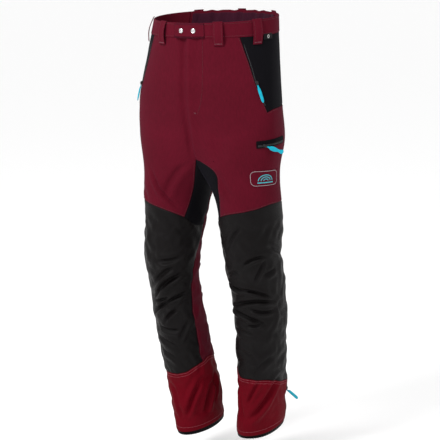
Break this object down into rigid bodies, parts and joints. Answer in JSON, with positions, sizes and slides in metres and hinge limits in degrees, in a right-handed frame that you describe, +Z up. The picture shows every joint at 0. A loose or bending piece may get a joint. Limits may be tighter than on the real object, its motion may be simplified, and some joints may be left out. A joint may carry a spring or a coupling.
{
  "type": "saw protection trousers",
  "caption": "Forestry work trousers with saw protection: burgundy shell, black knee and hip panels, crimson cuffs, teal zip pulls, shown as worn.",
  "frame": {"origin": "centre of the waist opening, halfway down the waistband at the side", "axes": "+Z up, front of the garment towards -Y, wearer's left towards +X"},
  "size_m": [0.4201, 0.3197, 1.1104],
  "materials": {
    "burgundy_softshell": "matt woven stretch",
    "crimson_cuff": "matt coated weave",
    "black_stretch": "matt stretch weave",
    "black_ripstop": "matt ripstop weave",
    "protection_fibre": "loose knitted fibre",
    "pocket_mesh": "knitted mesh",
    "elastic": "ribbed elastic",
    "snap_steel": "polished",
    "label_weave": "satin weave",
    "patch_print": "printed outline",
    "zip_nylon": "nylon coil",
    "slider_metal": "dark lacquer",
    "teal_rubber": "matt moulded"
  },
  "bodies": {
    "garment": {"front_panel_left": "burgundy_softshell", "hip_panel_left": "black_stretch", "seat_panel_left": "burgundy_softshell", "crotch_gusset_left": "black_stretch", "knee_panel_left": "black_ripstop", "back_leg_left": "burgundy_softshell", "cuff_left": "crimson_cuff", "hem_gaiter_left": "black_stretch", "saw_pad_left": "protection_fibre", "hand_pocket_bag_left": "pocket_mesh", "front_panel_right": "burgundy_softshell", "hip_panel_right": "black_stretch", "seat_panel_right": "burgundy_softshell", "crotch_gusset_right": "black_stretch", "knee_panel_right": "black_ripstop", "back_leg_right": "burgundy_softshell", "cuff_right": "crimson_cuff", "hem_gaiter_right": "black_stretch", "saw_pad_right": "protection_fibre", "hand_pocket_bag_right": "pocket_mesh", "thigh_pocket_bag": "pocket_mesh", "waistband_left": "burgundy_softshell", "waistband_right": "burgundy_softshell", "waistband_back": "burgundy_softshell", "fly_shield": "burgundy_softshell", "waist_elastic": "elastic", "snap_stud_1": "snap_steel", "snap_stud_2": "snap_steel", "belt_loop_front_left": "burgundy_softshell", "belt_loop_side_left": "burgundy_softshell", "belt_loop_back_left": "burgundy_softshell", "belt_loop_front_right": "burgundy_softshell", "belt_loop_side_right": "burgundy_softshell", "belt_loop_back_right": "burgundy_softshell", "belt_loop_centre_back": "burgundy_softshell", "hip_label": "label_weave", "leg_patch": "patch_print", "hand_zip_left": "zip_nylon", "ankle_zip_left": "zip_nylon", "hand_zip_right": "zip_nylon", "ankle_zip_right": "zip_nylon", "thigh_welt": "black_stretch", "thigh_zip": "zip_nylon", "fly_zip": "zip_nylon"},
    "waist_tab": {"waist_tab": "burgundy_softshell", "snap_cap_1": "snap_steel", "snap_cap_2": "snap_steel"},
    "fly_runner": {"fly_slider": "slider_metal", "fly_pull": "slider_metal"},
    "hand_runner_left": {"hand_left_slider": "slider_metal"},
    "hand_tag_left": {"hand_left_pull": "teal_rubber"},
    "hand_runner_right": {"hand_right_slider": "slider_metal"},
    "hand_tag_right": {"hand_right_pull": "teal_rubber"},
    "thigh_runner": {"thigh_slider": "slider_metal"},
    "thigh_tag": {"thigh_pull": "teal_rubber"},
    "ankle_runner_left": {"ankle_left_slider": "slider_metal"},
    "ankle_tag_left": {"ankle_left_pull": "teal_rubber"},
    "ankle_runner_right": {"ankle_right_slider": "slider_metal"},
    "ankle_tag_right": {"ankle_right_pull": "teal_rubber"}
  },
  "joints": [
    {"name": "waist_tab_open", "type": "hinge", "parent": "garment", "child": "waist_tab", "pos_m": [0.0475, -0.121, -0.012], "axis": [0, 0, 1], "range_deg": [0, 80]},
    {"name": "fly_run", "type": "slide", "parent": "garment", "child": "fly_runner", "axis": [0, 0, -1], "range_m": [0, 0.12]},
    {"name": "hand_run_left", "type": "slide", "parent": "garment", "child": "hand_runner_left", "axis": [0.3466, 0.0692, -0.9355], "range_m": [-0.07, 0.04]},
    {"name": "hand_tag_swing_left", "type": "hinge", "parent": "hand_runner_left", "child": "hand_tag_left", "pos_m": [0.17524, -0.0776, -0.14106], "axis": [-0.6896, -0.6645, -0.2878], "range_deg": [0, 110]},
    {"name": "hand_run_right", "type": "slide", "parent": "garment", "child": "hand_runner_right", "axis": [-0.3698, 0.1368, -0.919], "range_m": [-0.07, 0.03]},
    {"name": "hand_tag_swing_right", "type": "hinge", "parent": "hand_runner_right", "child": "hand_tag_right", "pos_m": [-0.18064, -0.07577, -0.15507], "axis": [-0.6676, 0.6846, 0.2927], "range_deg": [0, 110]},
    {"name": "thigh_run", "type": "hinge", "parent": "garment", "child": "thigh_runner", "pos_m": [0.15194, -0.02609, -0.28554], "axis": [-0.0871, -0.0898, 0.9921], "range_deg": [0, 60]},
    {"name": "thigh_tag_swing", "type": "hinge", "parent": "thigh_runner", "child": "thigh_tag", "pos_m": [0.19295, -0.06009, -0.28849], "axis": [-0.3331, -0.1597, -0.9293], "range_deg": [0, 110]},
    {"name": "ankle_run_left", "type": "slide", "parent": "garment", "child": "ankle_runner_left", "axis": [-0.1157, 0.1631, -0.9798], "range_m": [0, 0.07]},
    {"name": "ankle_tag_swing_left", "type": "hinge", "parent": "ankle_runner_left", "child": "ankle_tag_left", "pos_m": [0.13055, 0.14308, -0.96715], "axis": [0.4306, -0.8781, -0.2084], "range_deg": [-45, 60]},
    {"name": "ankle_run_right", "type": "slide", "parent": "garment", "child": "ankle_runner_right", "axis": [0.1157, 0.1631, -0.9798], "range_m": [0, 0.07]},
    {"name": "ankle_tag_swing_right", "type": "hinge", "parent": "ankle_runner_right", "child": "ankle_tag_right", "pos_m": [-0.13055, 0.07508, -0.96715], "axis": [0.4306, 0.8781, 0.2084], "range_deg": [-45, 60]}
  ]
}
